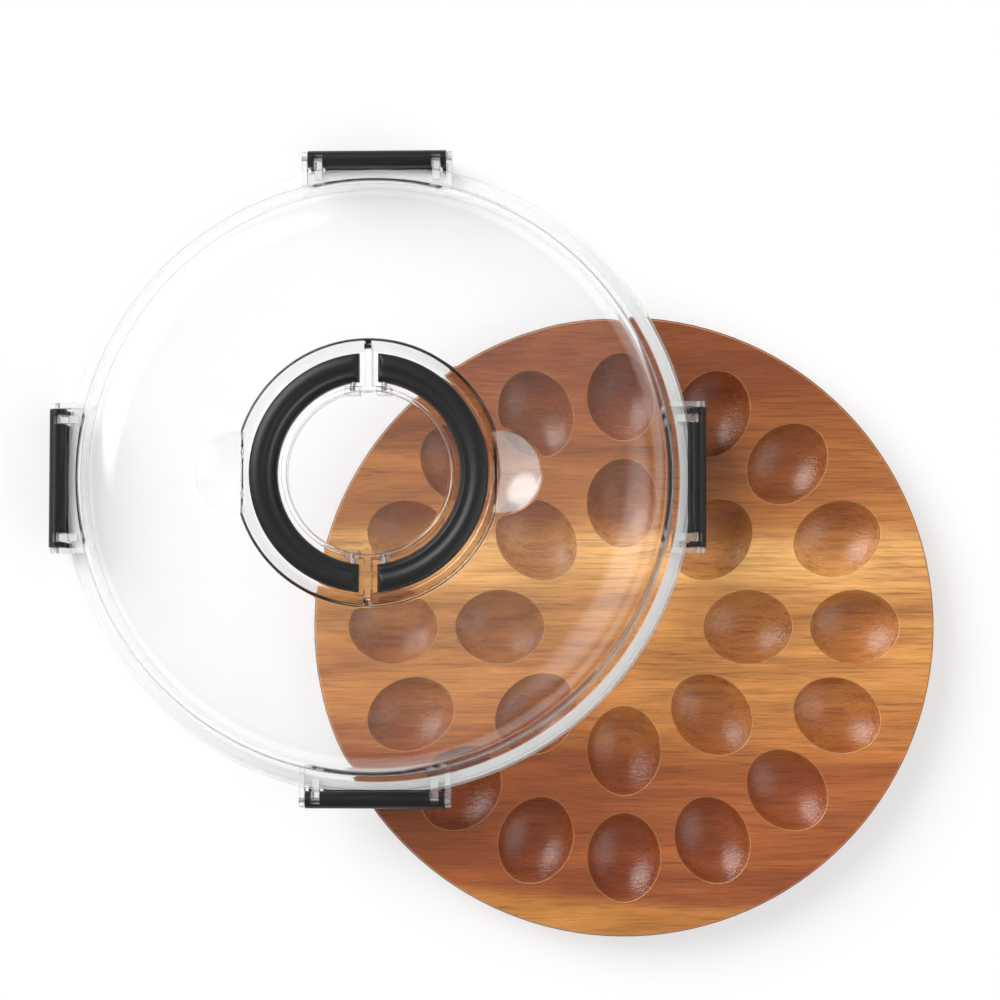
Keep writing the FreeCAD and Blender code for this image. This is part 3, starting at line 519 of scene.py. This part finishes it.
def handle_half(sign):
    """One half ring of the folded handle, on the lid's +X side (sign 1) or -X side (sign -1).

    Each row of the section is turned from end to end; an end lies in the plane x = HANDLE_END, so a row of
    radius r starts asin(x / r) from the Y axis. On top the end falls along the same line as the outer edge;
    underneath it is a quarter round, where the height rises by R - sqrt(R^2 - d^2)."""
    section, top_count = handle_section()
    near = np.array([0.0, 0.06, 0.2, 0.42, 0.75, 1.1, 1.35, 1.9, 2.5, 3.4])
    pad = math.radians(PAD_START)
    middle = np.concatenate([np.radians(np.arange(12, PAD_START, 2.0)), [pad - 1e-5, pad + 1e-5],
                             np.radians(np.arange(PAD_START + 2, 90.1, 2.0))])
    points, count = [], 2 * (len(near) + len(middle)) - 1
    for index, (r, z) in enumerate(section):
        from_y = np.concatenate([np.arcsin((HANDLE_END + near) / r), middle])
        angle = np.concatenate([from_y, np.pi - from_y[-2::-1]])
        x, y = r * np.sin(angle), r * np.cos(angle)
        beyond = np.abs(x) - HANDLE_END
        if index < top_count:
            drop = np.interp(beyond, [0, 0.12, 0.4, 0.85, 1.1, 1.35, 2.6],
                             [3.4, 2.6, 1.95, 1.5, 1.58, 1.42, 0.0])
            height = np.minimum(z, HANDLE_TOP - drop)
        else:
            inward = np.clip(END_ROUND - beyond, 0, END_ROUND)
            height = np.maximum(z, HANDLE_FOOT + END_ROUND - np.sqrt(END_ROUND ** 2 - inward ** 2))
            if HANDLE_IN + PAD_EDGE + HAIR / 2 < r < HANDLE_OUT - PAD_EDGE - HAIR / 2:
                height = np.where((angle > pad) & (angle < np.pi - pad), HANDLE_FOOT + PAD_DEPTH, height)
        points.append(np.stack([x * sign, y * sign, height], axis=1))
    rows = len(section)
    ends = [tuple(row * count for row in reversed(range(rows))),
            tuple(row * count + count - 1 for row in range(rows))]
    return place_on_lid(np.concatenate(points)), grid_faces(rows, count, True, False) + ends


def add_handles():
    """The two half rings, each in place of its plain solid."""
    for side, sign in (("right", 1), ("left", -1)):
        body = "handle_" + side
        points, faces = handle_half(sign)
        add_surface("handle_half_" + side, points, faces, "handle_black", body, body)


def add_lid():
    """The clear moulding with its ears, pegs and blocks, in place of the plain solid."""
    points, faces = lid_shell()
    add_surface("lid_moulding", points, faces, "clear_lid", "root", "lid_dome")
    points, faces = [], []
    for more_points, more_faces in lid_fittings():
        start = len(points)
        points.extend(place_on_lid(more_points))
        faces.extend(tuple(start + i for i in face) for face in more_faces)
    add_surface("lid_ears_and_blocks", points, faces, "clear_lid", "root", "lid_dome")


def make_floor():
    """A flat square well past the picture's edges."""
    mesh = bpy.data.meshes.new("Floor")
    corners = [(x * FLOOR_HALF + VIEW_CENTRE[0], y * FLOOR_HALF + VIEW_CENTRE[1], 0.0)
               for x, y in ((-1, -1), (1, -1), (1, 1), (-1, 1))]
    mesh.from_pydata(corners, [], [(0, 1, 2, 3)])
    mesh.materials.append(paper_white())
    floor = bpy.data.objects.new("Floor", mesh)
    bpy.context.scene.collection.objects.link(floor)


def add_camera():
    """Straight down, picture top along +Y, at the scale measured on the board's top."""
    camera = bpy.data.cameras.new("Camera")
    camera.sensor_width = 36.0
    camera.lens = 36.0 * (CAMERA_HEIGHT - BOARD_TOP) / (PIXEL * PICTURE)
    camera.clip_end = 4 * FLOOR_HALF
    seat = bpy.data.objects.new("Camera", camera)
    seat.location = (*VIEW_CENTRE, CAMERA_HEIGHT)
    bpy.context.scene.collection.objects.link(seat)
    bpy.context.scene.camera = seat


def set_world(sky, lamps):
    """A pale studio, half as bright at the horizon as overhead, with soft round lamps."""
    world = bpy.data.worlds.new("Studio")
    world.use_nodes = True
    tree = world.node_tree
    tree.nodes.clear()

    def add(kind, inputs, **settings):
        node = tree.nodes.new("ShaderNode" + kind)
        for name, value in settings.items():
            setattr(node, name, value)
        for name, value in inputs.items():
            if isinstance(value, bpy.types.NodeSocket):
                tree.links.new(value, node.inputs[name])
            else:
                node.inputs[name].default_value = value
        return node

    toward = add("TexCoord", {}).outputs["Generated"]
    height = add("SeparateXYZ", {"Vector": toward}).outputs["Z"]
    total = add("MapRange", {"Value": height, "From Min": 0.0, "From Max": 0.45, "To Min": sky * 0.5,
                             "To Max": sky}, interpolation_type="SMOOTHSTEP").outputs["Result"]
    for direction, strength, inner, outer in lamps:
        direction = tuple(Vector(direction).normalized())
        facing = add("VectorMath", {0: toward, 1: direction}, operation="DOT_PRODUCT").outputs["Value"]
        lobe = add("MapRange", {"Value": facing, "From Min": outer, "From Max": inner, "To Min": 0.0,
                                "To Max": strength}, interpolation_type="SMOOTHSTEP").outputs["Result"]
        total = add("Math", {0: total, 1: lobe}, operation="ADD").outputs[0]
    background = add("Background", {"Color": (1, 1, 1, 1), "Strength": total})
    output = tree.nodes.new("ShaderNodeOutputWorld")
    tree.links.new(background.outputs[0], output.inputs["Surface"])
    bpy.context.scene.world = world


dress_solids()
add_lid()
add_handles()
make_floor()
set_world(SKY, (KEY_LAMP, SIDE_LAMP))
add_camera()
bpy.context.scene.view_settings.view_transform = "Standard"
